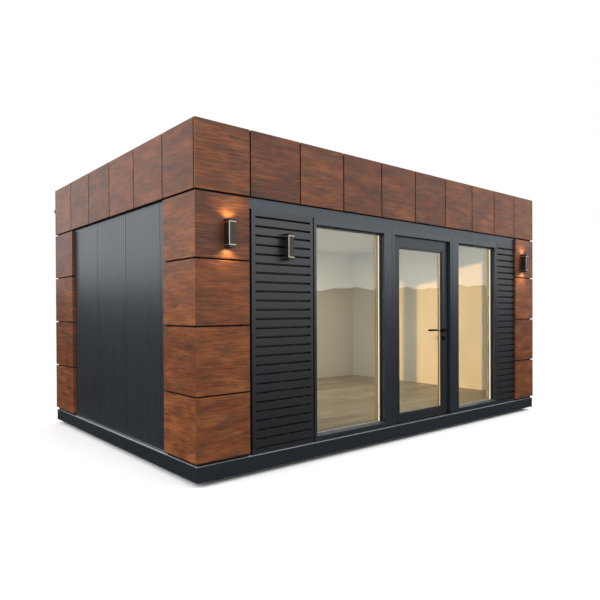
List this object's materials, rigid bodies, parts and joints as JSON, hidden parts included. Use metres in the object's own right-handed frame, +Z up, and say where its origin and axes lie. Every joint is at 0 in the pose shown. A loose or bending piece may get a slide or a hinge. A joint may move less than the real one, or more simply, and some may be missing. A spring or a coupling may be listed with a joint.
{
  "type": "garden office pod",
  "caption": "Flat-roofed modular garden room with board-clad fascia and corner columns, louvre panels, two tall fixed windows, a glazed door, wall lamps and levelling feet.",
  "frame": {"origin": "on the ground, under the centre of the box round the whole pod", "axes": "+X along the front towards the far end, +Y from the door side to the back, +Z up"},
  "size_m": [5.37, 3.923, 2.945],
  "materials": {
    "galvanised_steel": "hot-dip galvanised, dull",
    "black_steel": "powder coated, satin",
    "plinth_sheet": "folded coated sheet, satin",
    "plywood": "sanded",
    "floor_vinyl": "matt plank pattern",
    "wall_panel": "ribbed coated sheet outside, cream inside",
    "ribbed_sheet": "ribbed coated sheet, satin",
    "frame_sheet": "coated sheet, satin",
    "ceiling_board": "coated, matt",
    "roof_membrane": "welded membrane, matt",
    "black_board": "stained black, matt",
    "wood_boards": "oiled, brushed grain",
    "louvre_sheet": "coated sheet, satin",
    "frame_profile": "foiled profile, fine grain",
    "glazing": "clear sealed unit",
    "sill_sheet": "coated sheet, satin",
    "leaf_profile": "foiled profile, fine grain",
    "satin_steel": "satin brushed",
    "lock_brass": "nickelled",
    "lamp_sheet": "powder coated, satin",
    "polished_trim": "polished",
    "lamp_glass": "frosted, warm"
  },
  "bodies": {
    "building": {"levelling_feet": "galvanised_steel", "base_frame": "black_steel", "base_skirt": "plinth_sheet", "base_flashing": "plinth_sheet", "floor_deck": "plywood", "floor_finish": "floor_vinyl", "left_wall": "wall_panel", "right_wall": "wall_panel", "back_wall": "wall_panel", "front_wall_left": "wall_panel", "front_wall_right": "wall_panel", "front_wall_head": "wall_panel", "header_cladding": "ribbed_sheet", "cover_posts": "frame_sheet", "ceiling_panel": "ceiling_board", "roof_deck": "plywood", "roof_covering": "roof_membrane", "parapet_kerb": "plywood", "parapet_frame": "black_board", "parapet_coping": "plinth_sheet", "rain_spout": "galvanised_steel", "fascia_front": "wood_boards", "fascia_back": "wood_boards", "fascia_left": "wood_boards", "fascia_right": "wood_boards", "cladding_battens": "black_board", "column_core_front_left": "black_board", "column_core_front_right": "black_board", "column_core_back_left": "black_board", "column_core_back_right": "black_board", "column_boards_front_left": "wood_boards", "column_boards_front_right": "wood_boards", "column_boards_back_left": "wood_boards", "column_boards_back_right": "wood_boards", "louvre_left": "louvre_sheet", "louvre_right": "louvre_sheet", "window_frame_left": "frame_profile", "window_frame_right": "frame_profile", "window_glass": "glazing", "window_sills": "sill_sheet", "door_frame": "frame_profile", "door_threshold": "sill_sheet", "hinges_fixed": "black_steel", "lamp_bodies": "lamp_sheet", "lamp_trims": "polished_trim", "lamp_lenses": "lamp_glass"},
    "door": {"door_leaf": "leaf_profile", "door_glass": "glazing", "hinges_moving": "black_steel", "lock_roses": "satin_steel", "lock_cylinder": "lock_brass"},
    "lever": {"door_lever": "satin_steel"}
  },
  "joints": [
    {"name": "door_hinge", "type": "hinge", "parent": "building", "child": "door", "pos_m": [-0.24, -1.8315, 1.19], "axis": [0, 0, -1], "range_deg": [0, 95]},
    {"name": "lever_turn", "type": "hinge", "parent": "door", "child": "lever", "pos_m": [0.664, -1.8195, 1.172], "axis": [0, -1, 0], "range_deg": [0, 40], "stiffness_Nm_per_rad": 2}
  ]
}
